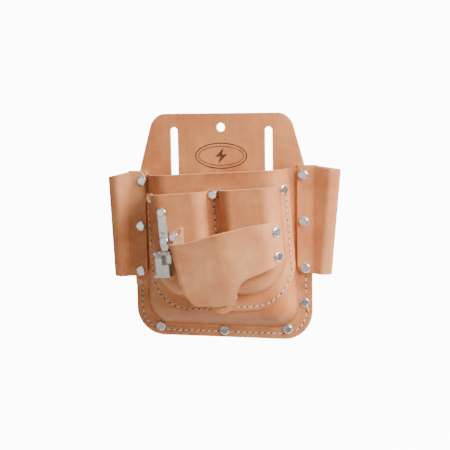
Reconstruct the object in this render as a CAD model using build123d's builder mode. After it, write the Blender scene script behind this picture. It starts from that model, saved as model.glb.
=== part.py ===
from build123d import *
from math import cos, hypot, radians, sin, sqrt, tan
import os

# Electrician's leather tool pouch. Millimetres, +Z up, front towards -Y. The origin is the centre
# of the hang hole on the back face, so the back panel's rear face lies in the XZ plane.
os.makedirs("parts", exist_ok=True)

# ---- driving dimensions ----
back_leather = 3.2           # thickness of the back panel
pocket_leather = 2.8         # main pocket, second pocket and side loops
strap_leather = 2.6          # pliers holster
fit_gap = 0.1                # between layers that only lie on each other

tab_top = 14.5               # top edge of the belt tab above the hang hole
tab_half = 71.8              # half width of the tab at its top edge, before the corner radius
tab_radius = 14.0
body_half = 94.5             # half width of the pouch body
body_shoulder = -67.0        # height where the tab has widened to the full body
body_bottom = -222.0
body_radius = 30.0
hang_hole = 9.0              # diameter
slot_pitch = 100.0           # between the two belt slots
slot_width = 8.0
slot_length = 68.0
slot_top = 0.5

rim_height = -45.2           # top edge of the main pocket at x = 0
rim_slope = 2.7              # degrees, the right end is the higher one
main_top_left = 76.5         # raised part of the main pocket, half widths near the rim
main_top_right = 71.5
main_low_left = 79.5         # and at the bottom
main_low_right = 80.5
main_bottom = -207.0
main_front = 29.0            # depth of its front face from the back face
main_shoulder = 25.0         # radius of the wet-moulded shoulder

second_tilt = 4.0            # degrees, the second pocket leans with the hand of its maker
second_centre_x = -3.0       # its centre rivet
second_centre_z = -67.0
second_half = 76.0
second_top = 4.5
second_bottom = -121.0
second_radius = 43.5
bulge_inner = 6.5            # tool compartments, measured from the divider seam
bulge_outer = 66.0
bulge_bottom = -103.5
bulge_front = 46.0           # depth of their front faces from the back face
bulge_shoulder = 14.5
bulge_radius = 34.0

loop_top = -47.0             # side loops, at their mid width
loop_bottom = -157.0
loop_depth = 30.0            # opening of a loop, front to back
loop_lap = 14.3              # overlap of a loop end on the flange, from the body's side edge
left_loop_reach_top = 26.0   # outer folds, from the same edge
left_loop_reach_low = 22.0
right_loop_reach_top = 30.0
right_loop_reach_low = 21.0
right_loop_lift = 7.0        # the right loop sits this much higher
loop_corner = 6.0            # corners of the flap

holster_top = -29.7          # in the tilted frame of the second pocket
holster_bottom = -110.0
holster_front_high = 63.0    # depth of the strap's centre line in front, at the top and bottom
holster_front_low = 55.0
holster_fold_high = -49.3    # left fold, across the tilted frame
holster_fold_low = -40.0
tab_fold = -28.0             # second fold, where the strap turns back as the riveted tab
tab_tip_lap = 0.3            # the tab's end reaches this far over the snap's lower cap
tab_end = -50.0              # the riveted tab stops above the tool snap
floor_left, floor_right = -24.0, 18.0
floor_front = 54.5
ear_radius = 12.4
ear_drop = 2.4               # the ear reaches this far below the second pocket

cap_radius = 5.1             # rivets
cap_height = 2.0
post_radius = 1.6
hole_clearance = 0.1
burr_radius = 4.4
burr_height = 0.9
burr_seat = 1.0              # a rear head stands this much off a hollow face

stitch_pitch = 6.3
stitch_length = 4.5
stitch_width = 1.0
stitch_height = 0.8
seam_inset = 6.0             # outer seam from the edge of the leather

clip_u = -51.2               # centre line of the tool snap on the left compartment
clip_lean = 10.0             # degrees, it lies on the rounded side of the compartment
strip_half = 4.7
strip_neck = 3.0             # half width where the strip turns round the pin
strip_thick = 1.2
clip_top = -7.8
clip_rivet_high = -12.9
clip_rivet_low = -42.4
pin_height = -54.3
pin_radius = 1.1
pin_lift = 2.5               # axis of the pin above the leather
snap_left = -11.8
snap_right = 6.0
snap_bottom = -79.0
snap_plate = 1.0
jaw_left = -1.2              # fixed jaw, beside the gate
jaw_height = 13.0
jaw_lip = 2.4
snap_throat = 6.0            # clear space inside the hook
clearance = 0.3              # between pieces that move on each other

loop_inner = body_half - loop_lap
tab_tip = clip_u + cap_radius - tab_tip_lap
flange_low = back_leather + pocket_leather            # outer face of the pocket flange
flange_high = flange_low + pocket_leather             # the same where a loop end lies under it
flap_face = flange_high + pocket_leather              # outer face of the loop flaps
step_low = loop_bottom - 13.0                         # the flange steps forward between these
step_high = loop_bottom - 3.0
far = 300.0


# ---- frames ----
lean = radians(second_tilt)
across = Vector(cos(lean), 0, sin(lean))
upward = Vector(-sin(lean), 0, cos(lean))
outward = Vector(0, -1, 0)
second_origin = Vector(second_centre_x, 0, second_centre_z)
second_plane = Plane(origin=second_origin, x_dir=across, z_dir=outward)


def second_point(u, v, depth=0.0):
    """Point of the tilted second-pocket frame in the pouch frame."""
    return second_origin + across * u + upward * v + outward * depth


def second_section(v):
    """Horizontal section plane of the second-pocket frame; its y is the pouch's y."""
    return Plane(origin=second_origin + upward * v, x_dir=across, z_dir=upward)


def wall_at(z, side):
    """Half width of the main pocket's raised part at height z."""
    top, low = (main_top_right, main_low_right) if side > 0 else (main_top_left, main_low_left)
    share = (z - main_bottom) / (rim_height - main_bottom)
    return low + (top - low) * share


def skin_plane(x, z, cover):
    """Plane lying on the moulded main pocket with a cover of that thickness over it."""
    side = 1 if x > 0 else -1
    core = wall_at(z, side) - main_shoulder
    dx = max(abs(x) - core, 0.0) * side
    dz = min(z - (main_bottom + main_shoulder), 0.0)
    reach = main_shoulder + cover
    d = min(hypot(dx, dz), 0.97 * reach)
    rise = sqrt(reach**2 - d**2)
    normal = Vector(dx, -rise, dz) if d > 0 else outward
    return Plane(origin=Vector(x, -(main_front - main_shoulder) - rise, z), x_dir=(0, 0, 1), z_dir=normal)


def rim_line(x):
    return rim_height + x * tan(radians(rim_slope))


# ---- outlines, drawn on Plane.XZ or on the tilted frame ----
def body_outline():
    corners = [(-tab_half, tab_top), (tab_half, tab_top), (body_half, body_shoulder),
               (body_half, body_bottom), (-body_half, body_bottom), (-body_half, body_shoulder)]
    FilletPolyline(*corners, radius=[tab_radius, tab_radius, 40, body_radius, body_radius, 40], close=True)


def main_outline(grow):
    above = 60.0
    corners = [(-main_top_left - grow, above), (main_top_right + grow, above),
               (main_top_right + grow, rim_height), (main_low_right + grow, main_bottom - grow),
               (-main_low_left - grow, main_bottom - grow), (-main_top_left - grow, rim_height)]
    corner = main_shoulder + grow + 2.0
    FilletPolyline(*corners, radius=[corner, corner, 30, corner, corner, 30], close=True)


def second_outline(shrink=0.0, top=second_top):
    half = second_half - shrink
    low = second_bottom + shrink
    corner = second_radius - shrink
    FilletPolyline((-half, top), (half, top), (half, low), (-half, low),
                   radius=[0, 0, corner, corner], close=True)


def bulge_outline(side, shrink):
    inner, outer = bulge_inner + shrink, bulge_outer - shrink
    low = bulge_bottom + shrink
    above = second_top + 40.0
    corners = [(side * inner, above), (side * outer, above), (side * outer, low), (side * inner, low)]
    round_in, round_out = bulge_shoulder + 1.0 - shrink, bulge_radius - shrink
    FilletPolyline(*corners, radius=[round_in, round_in, round_out, round_in], close=True)


def main_form(grow):
    """Solid form of the main pocket's raised part; grow moves its whole skin outwards."""
    with BuildPart() as form:
        with BuildSketch(Plane.XZ.offset(back_leather)):
            with BuildLine():
                main_outline(grow)
            make_face()
        extrude(amount=main_front + grow - back_leather)
        fillet(form.faces().sort_by(Axis.Y)[0].edges(), radius=main_shoulder + grow)
    return form.part


def bulge_form(side, shrink):
    """Solid form of one tool compartment of the second pocket."""
    base = main_front - main_shoulder
    with BuildPart() as form:
        with BuildSketch(second_plane.offset(base)):
            with BuildLine():
                bulge_outline(side, shrink)
            make_face()
        extrude(amount=bulge_front - shrink - base)
        fillet(form.faces().sort_by(Axis.Y)[0].edges(), radius=bulge_shoulder - shrink)
    return form.part


# ---- rivets: each is a plane on the face under its cap, and the thickness that it holds ----
loop_middle = (loop_top + loop_bottom) / 2 - 1.0
loop_rivet_x = body_half - cap_radius                 # a cap touches the body's edge line here
left_loop_rivets = [(-(loop_rivet_x - 5.6), loop_top - 7.8), (-(loop_rivet_x - 2.9), loop_middle),
                    (-(loop_rivet_x - 1.8), loop_bottom + 5.8)]
right_loop_rivets = [(loop_rivet_x - 3.2, loop_top + right_loop_lift - 8.2),
                     (loop_rivet_x - 2.5, loop_middle + right_loop_lift),
                     (loop_rivet_x - 1.0, loop_bottom + right_loop_lift + 5.8)]
bottom_rivets = [(-68.5, body_bottom + 9.8), (1.5, body_bottom + 7.5), (69.0, body_bottom + 11.0),
                 (body_half - 7.7, loop_bottom - 24.5)]


def flat_rivets(places, face):
    return [(Plane(origin=(x, -face, z), x_dir=(1, 0, 0), z_dir=outward), face - burr_height)
            for x, z in places]


def pocket_rivet(u):
    place = second_point(u, 0)
    return skin_plane(place.X, place.Z, pocket_leather), 2 * pocket_leather + burr_seat


def holster_end_plane(v, angle=45.0):
    """Plane on the strap's right end, where it lies on the shoulder of the right compartment."""
    reach = bulge_shoulder + fit_gap + strap_leather
    turn = radians(angle)
    u = bulge_outer - bulge_shoulder + reach * sin(turn)
    depth = bulge_front - bulge_shoulder + reach * cos(turn)
    return Plane(origin=second_point(u, v, depth), x_dir=upward,
                 z_dir=across * sin(turn) + outward * cos(turn))


lean_clip = radians(clip_lean)
clip_normal = outward * cos(lean_clip) - across * sin(lean_clip)
clip_across = across * cos(lean_clip) + outward * sin(lean_clip)
clip_origin = second_point(clip_u, 0, bulge_front + 0.35)
clip_plane = Plane(origin=clip_origin, x_dir=clip_across, z_dir=clip_normal)


def clip_point(p, q, n):
    return clip_origin + clip_across * p + upward * q + clip_normal * n


def clip_rivet(q):
    top = fit_gap + strip_thick
    plane = Plane(origin=clip_point(0, q, top), x_dir=clip_across, z_dir=clip_normal)
    return plane, top + pocket_leather + 1.4 * burr_seat


tab_face = bulge_front + fit_gap + strap_leather
ear_face = main_front + pocket_leather + fit_gap + strap_leather
base_rivet_height = bulge_bottom - 2 * fit_gap - strap_leather - cap_radius    # just under the floor
rivet_sets = {
    "bottom_rivet": flat_rivets(bottom_rivets, flange_low),
    "left_loop_rivet": flat_rivets(left_loop_rivets, flap_face),
    "right_loop_rivet": flat_rivets(right_loop_rivets, flap_face),
    "pocket_rivet": [pocket_rivet(u) for u in (-(second_half - 6.0), 0.0, second_half - 5.0)],
    "holster_end_rivet": [(holster_end_plane(v), strap_leather + fit_gap + pocket_leather + burr_seat)
                          for v in (-40.0, -65.0)],
    "holster_tab_rivet": [(Plane(origin=second_point(u, v, tab_face), x_dir=across, z_dir=outward),
                           strap_leather + fit_gap + pocket_leather)
                          for u, v in ((clip_u + 2 * cap_radius + 0.4, clip_rivet_low + 3.8),)],
    "holster_base_rivet": [(Plane(origin=second_point(2.0, base_rivet_height, ear_face), x_dir=across,
                                  z_dir=outward),
                            strap_leather + fit_gap + 2 * pocket_leather + burr_seat)],
    "snap_rivet": [clip_rivet(clip_rivet_high), clip_rivet(clip_rivet_low)],
}


def post_holes(*sets):
    """The holes of these rivet sets, to be cut out of a piece that their posts pass through."""
    with BuildPart() as holes:
        for name in sets:
            for plane, grip in rivet_sets[name]:
                with BuildSketch(plane.offset(cap_height)):
                    Circle(post_radius + hole_clearance)
                extrude(amount=-(grip + cap_height + burr_height + 2.0))
    return holes.part


# ---- back panel ----
with BuildPart() as back_panel:
    with BuildSketch(Plane.XZ):
        with BuildLine():
            body_outline()
        make_face()
        Circle(hang_hole / 2, mode=Mode.SUBTRACT)
        with Locations((0, slot_top - slot_length / 2)):
            with GridLocations(slot_pitch, 0, 2, 1):
                SlotOverall(slot_length, slot_width, rotation=90, mode=Mode.SUBTRACT)
    extrude(amount=back_leather)
    add(post_holes("bottom_rivet", "left_loop_rivet", "right_loop_rivet"), mode=Mode.SUBTRACT)
    with BuildSketch(Plane.XZ):
        with Locations(*bottom_rivets, *left_loop_rivets, *right_loop_rivets):
            Circle(burr_radius + hole_clearance)
    extrude(amount=burr_height, mode=Mode.SUBTRACT)


# ---- main pocket ----
with BuildPart() as main_pocket:
    with BuildSketch(Plane.YZ.offset(-far / 2)):
        with BuildLine():
            Polyline((-back_leather, body_bottom), (-flange_low, body_bottom), (-flange_low, step_low),
                     (-flange_high, step_high), (-flange_high, 0), (-flange_low, 0),
                     (-flange_low, step_high), (-back_leather, step_low), close=True)
        make_face()
    extrude(amount=far)
    with BuildSketch(Plane.XZ):
        with BuildLine():
            body_outline()
        make_face()
    extrude(amount=far, mode=Mode.INTERSECT)
    add(main_form(0))
    add(main_form(-pocket_leather), mode=Mode.SUBTRACT)
    with BuildSketch(Plane.XZ):
        with BuildLine():
            Polyline((-far, rim_line(-far)), (far, rim_line(far)), (far, far), (-far, far), close=True)
        make_face()
    extrude(amount=far, mode=Mode.SUBTRACT)
    add(post_holes("bottom_rivet", "left_loop_rivet", "right_loop_rivet", "pocket_rivet",
                   "holster_base_rivet"), mode=Mode.SUBTRACT)


# ---- second pocket: two tool compartments on the front of the main pocket ----
with BuildPart() as second_pocket:
    add(main_form(pocket_leather))
    for side in (-1, 1):
        add(bulge_form(side, 0))
    with BuildSketch(second_plane.offset(flange_high + fit_gap)):
        with BuildLine():
            second_outline()
        make_face()
    extrude(amount=far, mode=Mode.INTERSECT)
    add(main_form(0), mode=Mode.SUBTRACT)
    for side in (-1, 1):
        add(bulge_form(side, pocket_leather), mode=Mode.SUBTRACT)
    add(post_holes("pocket_rivet", "holster_end_rivet", "holster_tab_rivet", "holster_base_rivet",
                   "snap_rivet"), mode=Mode.SUBTRACT)


def strip_section(points, radii, thickness):
    """Section of a bent strip: both faces of a centre line that turns at the points on these radii."""
    half = thickness / 2
    line = [Vector(*p) for p in points]
    heads = [(b - a).normalized() for a, b in zip(line, line[1:])]
    lefts = [Vector(-h.Y, h.X) for h in heads]
    faces = []
    for side in (1, -1):
        moved = [line[0] + lefts[0] * side * half]
        bends = []
        for corner, a, b, h, k, r in zip(line[1:-1], lefts, lefts[1:], heads, heads[1:], radii):
            moved.append(corner + (a + b) * (side * half / (1 + a.dot(b))))
            turn = 1 if h.X * k.Y - h.Y * k.X > 0 else -1
            bends.append(r - side * turn * half)
        moved.append(line[-1] + lefts[-1] * side * half)
        faces.append(FilletPolyline(*moved, radius=bends))
    Line(faces[0] @ 0, faces[1] @ 0)
    Line(faces[0] @ 1, faces[1] @ 1)


# ---- side loops: a strip folded into a tapered tube, both ends under the loop rivets ----
def loop_path(side, outer):
    """Centre line of the folded strip, seen from above: flap end, outer fold, rear end."""
    half = pocket_leather / 2
    front, rear = -(flap_face - half), -(back_leather + half)
    belly = front - (loop_depth - (flap_face - pocket_leather - flange_low)) * 0.45
    return [(side * loop_inner, front), (side * (body_half + 3), front), (side * (outer - 10), belly),
            (side * (outer - half), belly + 3), (side * (outer - half), rear), (side * loop_inner, rear)]


def side_loop(side, outer_top, outer_low, lift, rivets, slant):
    top, low = loop_top + lift, loop_bottom + lift
    with BuildPart() as loop:
        for height, outer in ((top + 8, outer_top), (low, outer_low)):
            with BuildSketch(Plane.XY.offset(height)):
                with BuildLine():
                    strip_section(loop_path(side, outer), [8, 6, 5, 5], pocket_leather)
                make_face()
        loft(ruled=True)
        inner_z = top + slant * 0.5
        with BuildSketch(Plane.XZ.offset(-1)):
            with BuildLine():
                Polyline((side * (loop_inner - 10), inner_z), (side * (body_half + 3.5), inner_z),
                         (side * (body_half + 35.5), top - slant), (side * (body_half + 35.5), far),
                         (side * (loop_inner - 10), far), close=True)
            make_face()
        extrude(amount=far, mode=Mode.SUBTRACT)
        flap_corners = loop.edges().filter_by(Axis.Y).filter_by(
            lambda e: abs(abs(e.center().X) - loop_inner) < 0.5 and e.center().Y < -flange_high + 0.01)
        fillet(flap_corners, radius=loop_corner)
        add(post_holes(rivets), mode=Mode.SUBTRACT)
    return loop


left_loop = side_loop(-1, body_half + left_loop_reach_top, body_half + left_loop_reach_low, 0.0,
                      "left_loop_rivet", 4.0)
right_loop = side_loop(1, body_half + right_loop_reach_top, body_half + right_loop_reach_low, right_loop_lift,
                       "right_loop_rivet", 2.5)


# ---- pliers holster: one strap, riveted at the right, folded back twice at the left ----
def holster_path(forward, fold_u):
    """Strap centre line in a horizontal section; forward is the depth of its front panel."""
    half = strap_leather / 2
    reach = bulge_shoulder + fit_gap + half
    turn = radians(45)
    touch = (bulge_outer - bulge_shoulder + reach * sin(turn),
             -(bulge_front - bulge_shoulder + reach * cos(turn)))
    rest = -(bulge_front + fit_gap + half)
    slack = 9.0
    return [(touch[0] + 5.5, touch[1] + 5.5), (touch[0] - slack, touch[1] - slack), (12, -forward),
            (fold_u, -forward + 2.0), (tab_fold, rest), (tab_tip, rest)]


with BuildPart() as holster:
    tight = strap_leather / 2
    for v, forward, fold_u in ((holster_top, holster_front_high, holster_fold_high),
                               (holster_bottom, holster_front_low, holster_fold_low)):
        with BuildSketch(second_section(v)):
            with BuildLine():
                strip_section(holster_path(forward, fold_u), [12, 60, tight, tight], strap_leather)
            make_face()
    loft(ruled=True)
    # sloping top edge, one straight knife cut across all three layers
    low_left = second_point(-45, -45, 61)
    fold_back = second_point(-27, -32, 49)
    right_end = second_point(37, -31, 63)
    cut_plane = Plane(origin=low_left, x_dir=right_end - low_left,
                      z_dir=(right_end - low_left).cross(fold_back - low_left))
    split(bisect_by=cut_plane, keep=Keep.BOTTOM)
    with BuildSketch(second_plane):
        with BuildLine():
            FilletPolyline((80, -71), (59, -72.5), (44, -81), (28, -86), (22.5, -99), (20.5, -112),
                           radius=[4, 10, 10, 8])
            Polyline((20.5, -112), (-28.5, -112), (-40, -91), (-60, -30), (-60, -20), (80, -20), (80, -71))
        make_face()
    extrude(amount=far, mode=Mode.INTERSECT)
    # the riveted tab ends above the tool snap
    with BuildSketch(second_plane.offset(bulge_front)):
        with BuildLine():
            Polyline((tab_tip - 14, tab_end), (tab_fold + 3.5, tab_end), (tab_fold + 3.5, holster_bottom - 5),
                     (tab_tip - 14, holster_bottom - 5), close=True)
        make_face()
    extrude(amount=2 * strap_leather + 0.8, mode=Mode.SUBTRACT)
    # floor under the tools and the ear that is riveted to the pocket
    floor_back = main_front + pocket_leather + fit_gap
    floor_high = bulge_bottom - fit_gap
    with BuildSketch(second_plane.offset(floor_back)):
        with BuildLine():
            Polyline((floor_left, floor_high), (floor_right, floor_high),
                     (floor_right, floor_high - strap_leather), (floor_left, floor_high - strap_leather),
                     close=True)
        make_face()
    extrude(amount=floor_front - floor_back)
    with BuildSketch(second_plane.offset(floor_back)):
        with Locations((0, second_bottom - ear_drop + ear_radius)):
            Circle(ear_radius)
        with Locations((0, (second_bottom + floor_high + ear_radius) / 2)):
            Rectangle(2 * ear_radius, floor_high - second_bottom - ear_radius)
    extrude(amount=strap_leather)
    add(post_holes("holster_end_rivet", "holster_tab_rivet", "holster_base_rivet"), mode=Mode.SUBTRACT)


# ---- rivets ----
def rivet_caps(rivets):
    with BuildPart() as caps:
        for plane, grip in rivets:
            with BuildSketch(plane) as base:
                Circle(cap_radius)
            extrude(amount=cap_height)
        rims = caps.edges().filter_by(GeomType.CIRCLE)
        outer = [e for e in rims if any(abs((e.arc_center - p.origin).dot(p.z_dir) - cap_height) < 0.01
                                        and (e.arc_center - p.origin).length < cap_height + 0.1
                                        for p, grip in rivets)]
        fillet(outer, radius=cap_height * 0.8)
    return caps


def rivet_posts(rivets):
    with BuildPart() as posts:
        for plane, grip in rivets:
            with BuildSketch(plane):
                Circle(post_radius)
            extrude(amount=-grip)
            with BuildSketch(plane.offset(-grip)):
                Circle(burr_radius)
            extrude(amount=-burr_height)
    return posts


# ---- stitching ----
def seam_frames(wire, plane_of, skips):
    """Planes of the stitches along a line drawn on XZ, leaving out those under a rivet or an ear."""
    count = int(wire.length / stitch_pitch)
    frames = []
    for i in range(count):
        along = (i + 0.5) * wire.length / count
        place = wire.position_at(along, position_mode=PositionMode.LENGTH)
        heading = wire.tangent_at(along, position_mode=PositionMode.LENGTH)
        if any(hypot(place.X - x, place.Z - z) < gap for x, z, gap in skips):
            continue
        surface = plane_of(place.X, place.Z)
        normal = surface.z_dir
        heading = (heading - normal * heading.dot(normal)).normalized()
        frames.append(Plane(origin=surface.origin, x_dir=heading, z_dir=normal))
    return frames


def stitches(frames, sink):
    with BuildPart() as thread:
        for frame in frames:
            with BuildSketch(frame.offset(-sink)):
                Rectangle(stitch_length, stitch_width)
            extrude(amount=stitch_height)
    return thread


def seam_wire(plane, points, radius):
    with BuildLine(plane) as seam:
        if len(points) > 2:
            FilletPolyline(*points, radius=radius)
        else:
            Line(*points)
    return seam.wire()


seam_half = body_half - seam_inset
seam_low = body_bottom + seam_inset
outer_wire = seam_wire(Plane.XZ, [(-seam_half, loop_bottom - 4), (-seam_half, seam_low),
                                  (seam_half, seam_low), (seam_half, loop_bottom + right_loop_lift - 4)],
                       body_radius - seam_inset)


def flange_plane(x, z):
    share = min(max((z - step_low) / (step_high - step_low), 0.0), 1.0)
    return Plane(origin=(x, -(flange_low + pocket_leather * share), z), x_dir=(1, 0, 0), z_dir=outward)


def back_plane(x, z):
    return Plane(origin=(x, 0, z), x_dir=(1, 0, 0), z_dir=(0, 1, 0))


outer_skips = [(x, z, cap_radius + 2.6) for x, z in bottom_rivets]
outer_frames = seam_frames(outer_wire, flange_plane, outer_skips)
back_frames = seam_frames(outer_wire, back_plane, outer_skips)

seam_edge = 3.5
in_half = second_half - seam_edge
in_low = second_bottom + seam_edge
second_seam = seam_wire(second_plane, [(-in_half, -8), (-in_half, in_low), (in_half, in_low), (in_half, -8)],
                        second_radius - seam_edge)
ear_spot = second_point(0, second_bottom + seam_edge)
second_skips = [(ear_spot.X, ear_spot.Z, ear_radius + 2.5)]
second_frames = seam_frames(second_seam, lambda x, z: skin_plane(x, z, pocket_leather), second_skips)
divider_seam = seam_wire(second_plane, [(0, -8), (0, bulge_bottom + 4)], 0)
divider_frames = seam_frames(divider_seam, lambda x, z: skin_plane(x, z, pocket_leather), [])


def inner_frames(frames):
    """The same stitches on the inside of the main pocket's front."""
    return [Plane(origin=f.origin - f.z_dir * (2 * pocket_leather), x_dir=f.x_dir, z_dir=-f.z_dir)
            for f in frames]


outer_thread = stitches(outer_frames, stitch_height / 2)
outer_bobbin = stitches(back_frames, stitch_height)
second_thread = stitches(second_frames, stitch_height / 2)
divider_thread = stitches(divider_frames, stitch_height / 2)
inner_thread = stitches(inner_frames(second_frames + divider_frames), stitch_height / 2)


# ---- tool snap: riveted strip, cross pin, hook body, sprung gate ----
pin_axis = Plane(origin=clip_point(0, pin_height, pin_lift), x_dir=upward, z_dir=clip_across)
knuckle = pin_radius + hole_clearance + 1.0

with BuildPart() as snap_strip:
    with BuildSketch(clip_plane.offset(fit_gap)):
        with BuildLine():
            shoulder = clip_top - strip_half
            Polyline((-strip_half, shoulder), (-strip_half, clip_rivet_low - 4),
                     (-strip_neck, pin_height + 1), (strip_neck, pin_height + 1),
                     (strip_half, clip_rivet_low - 4), (strip_half, shoulder))
            ThreePointArc((strip_half, shoulder), (0, clip_top), (-strip_half, shoulder))
        make_face()
        with Locations((1.6, -33.5)):
            Circle(0.7, mode=Mode.SUBTRACT)
        with Locations((-1.2, -34.0)):
            SlotOverall(5.0, 0.9, rotation=-55, mode=Mode.SUBTRACT)
    extrude(amount=strip_thick)
    with BuildSketch(pin_axis.offset(-3)):
        Circle(knuckle)
    extrude(amount=6)
    with BuildSketch(pin_axis.offset(-3)):
        Circle(pin_radius + hole_clearance)
    extrude(amount=6, mode=Mode.SUBTRACT)
    add(post_holes("snap_rivet"), mode=Mode.SUBTRACT)

with BuildPart() as snap_pin:
    with BuildSketch(pin_axis.offset(snap_left - 0.8)):
        Circle(pin_radius)
    extrude(amount=snap_right - snap_left + 1.6)

hook_face = clearance + snap_plate + snap_throat + snap_plate
with BuildPart() as snap_hook:
    with BuildSketch(clip_plane.offset(clearance)):
        with BuildLine():
            Polyline((snap_left, snap_bottom), (snap_right, snap_bottom),
                     (snap_right, pin_height - knuckle - clearance),
                     (snap_left, pin_height - knuckle - clearance), close=True)
        make_face()
    extrude(amount=snap_plate)
    with BuildSketch(clip_plane.offset(clearance)):
        with Locations(((snap_left + snap_right) / 2, snap_bottom + snap_plate / 2)):
            Rectangle(snap_right - snap_left, snap_plate)
    extrude(amount=hook_face - clearance)
    with BuildSketch(clip_plane.offset(hook_face - snap_plate)):
        with BuildLine():
            Polyline((snap_left, snap_bottom), (snap_right, snap_bottom),
                     (snap_right, snap_bottom + jaw_height),
                     (jaw_left, snap_bottom + jaw_height), (jaw_left, snap_bottom + jaw_lip),
                     (snap_left, snap_bottom + jaw_lip), close=True)
        make_face()
    extrude(amount=snap_plate)
    for start in (snap_left, snap_right - 2.2):
        with BuildSketch(pin_axis.offset(start)):
            Circle(knuckle)
        extrude(amount=2.2)
        with BuildSketch(clip_plane.offset(clearance)):
            with Locations((start + 1.1, pin_height - knuckle / 2 - clearance)):
                Rectangle(2.2, knuckle + clearance * 2)
        extrude(amount=pin_lift)
    with BuildSketch(pin_axis.offset(snap_left)):
        Circle(pin_radius + 0.02)
    extrude(amount=snap_right - snap_left, mode=Mode.SUBTRACT)

gate_left, gate_right = snap_left + 2.2 + clearance, -2.0
gate_knuckle = 3.0
gate_top = pin_lift + knuckle + clearance + 0.8
gate_foot = snap_bottom + snap_plate + 3 * clearance
with BuildPart() as snap_gate:
    gate_face = hook_face - snap_plate - clearance
    with BuildSketch(Plane(origin=clip_point(gate_left, 0, 0), x_dir=upward, z_dir=clip_across)) as profile:
        with BuildLine():
            Polyline((pin_height - 0.2, pin_lift + knuckle + clearance), (pin_height - 0.2, gate_top),
                     (pin_height - 5.0, gate_face), (gate_foot, gate_face), (gate_foot, gate_face - 1.0),
                     (pin_height - 4.6, gate_face - 1.0), close=True)
        make_face()
    extrude(amount=gate_right - gate_left)
    with BuildSketch(pin_axis.offset(gate_right - 1.3 - gate_knuckle)):
        Circle(knuckle)
        with Locations((0, (gate_top - pin_lift - 0.3) / 2)):
            Rectangle(2.4, gate_top - pin_lift - 0.3)
    extrude(amount=gate_knuckle)
    with BuildSketch(pin_axis.offset(snap_left)):
        Circle(pin_radius + hole_clearance)
    extrude(amount=far, mode=Mode.SUBTRACT)

with BuildPart() as gate_spring:
    coil = 2.0
    with BuildSketch(pin_axis.offset(gate_left)):
        Circle(pin_radius + 0.9)
        Circle(pin_radius + 0.15, mode=Mode.SUBTRACT)
    extrude(amount=coil)

# ---- write every piece ----
pieces = {
    "back_panel": back_panel, "main_pocket": main_pocket, "second_pocket": second_pocket,
    "left_side_loop": left_loop, "right_side_loop": right_loop, "pliers_holster": holster,
    "outer_seam_thread": outer_thread, "outer_seam_bobbin_thread": outer_bobbin,
    "pocket_seam_thread": second_thread, "divider_seam_thread": divider_thread,
    "pocket_bobbin_thread": inner_thread,
    "snap_strip": snap_strip, "snap_pin": snap_pin, "snap_hook": snap_hook, "snap_gate": snap_gate,
    "gate_spring": gate_spring,
}
for name, rivets in rivet_sets.items():
    pieces[name + "_caps"] = rivet_caps(rivets)
    pieces[name + "_posts"] = rivet_posts(rivets)
for name, piece in pieces.items():
    piece.part.label = name
    export_step(piece.part, f"parts/{name}.step")
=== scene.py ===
import bpy
from math import cos, degrees, exp, hypot, pi, radians, sin, sqrt, tan
from mathutils import Matrix, Vector


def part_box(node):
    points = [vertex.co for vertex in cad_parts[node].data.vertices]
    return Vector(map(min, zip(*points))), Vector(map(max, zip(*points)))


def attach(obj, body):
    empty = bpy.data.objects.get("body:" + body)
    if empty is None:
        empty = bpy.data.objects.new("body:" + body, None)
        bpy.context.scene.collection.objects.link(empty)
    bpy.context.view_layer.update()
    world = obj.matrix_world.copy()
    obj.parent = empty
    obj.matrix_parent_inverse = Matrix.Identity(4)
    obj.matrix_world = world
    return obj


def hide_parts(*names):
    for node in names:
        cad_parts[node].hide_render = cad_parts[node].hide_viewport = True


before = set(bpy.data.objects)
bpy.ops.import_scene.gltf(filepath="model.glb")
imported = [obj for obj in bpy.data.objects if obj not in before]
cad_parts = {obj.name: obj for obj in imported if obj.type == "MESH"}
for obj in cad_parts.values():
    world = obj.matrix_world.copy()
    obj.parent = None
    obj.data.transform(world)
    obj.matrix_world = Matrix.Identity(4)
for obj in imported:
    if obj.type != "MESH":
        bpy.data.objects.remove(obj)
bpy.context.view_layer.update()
mm = 0.001  # sizes below are in millimetres
bpy.ops.object.select_all(action="DESELECT")


def boxOf(node):
    lo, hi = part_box(node)
    return Vector(lo) / mm, Vector(hi) / mm


panelLow, panelHigh = boxOf("back_panel")
backThick = -panelLow.y
bodyHalf = panelHigh.x
bodyBottom, tabTop = panelLow.z, panelHigh.z
mainFront = -boxOf("main_pocket")[0].y
bulgeFront = -boxOf("second_pocket")[0].y
leather = 2.8  # the pockets and loops
strapThick = 2.6  # the holster
flangeLow = backThick + leather
flangeHigh = flangeLow + leather
flapFace = flangeHigh + leather

panel = dict(tabHalf=71.8, tabRadius=14.0, shoulderZ=-67.0, cornerRadius=30.0, slotPitch=100.0, slotWidth=8.0,
             slotLength=68.0, slotTop=0.5, holeSize=9.0)
pocket = dict(rimZ=-45.2, rimSlope=2.7, topLeft=76.5, topRight=71.5, lowLeft=79.5, lowRight=80.5, bottom=-207.0,
              shoulder=25.0, steepest=70.0, footSoft=1.5, seamInset=6.0, stepLow=-170.0, stepHigh=-160.0)
second = dict(lean=4.0, centreX=-3.0, centreZ=-67.0, half=76.0, top=4.5, bottom=-121.0, cornerRadius=43.5,
              bulgeIn=6.5, bulgeOut=66.0, bulgeBottom=-103.5, bulgeShoulder=14.5, bulgeCorner=34.0, seamInset=3.5,
              steepest=77.0)
leanAngle = radians(second["lean"])
across = Vector((cos(leanAngle), 0, sin(leanAngle)))
upward = Vector((-sin(leanAngle), 0, cos(leanAngle)))
outward = Vector((0, -1, 0))
secondOrigin = Vector((second["centreX"], 0, second["centreZ"]))


def secondPoint(u, v, depth=0.0):
    return secondOrigin + across * u + upward * v + outward * depth


def toSecond(x, z):
    p = Vector((x, 0, z)) - secondOrigin
    return p.dot(across), p.dot(upward)


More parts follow.
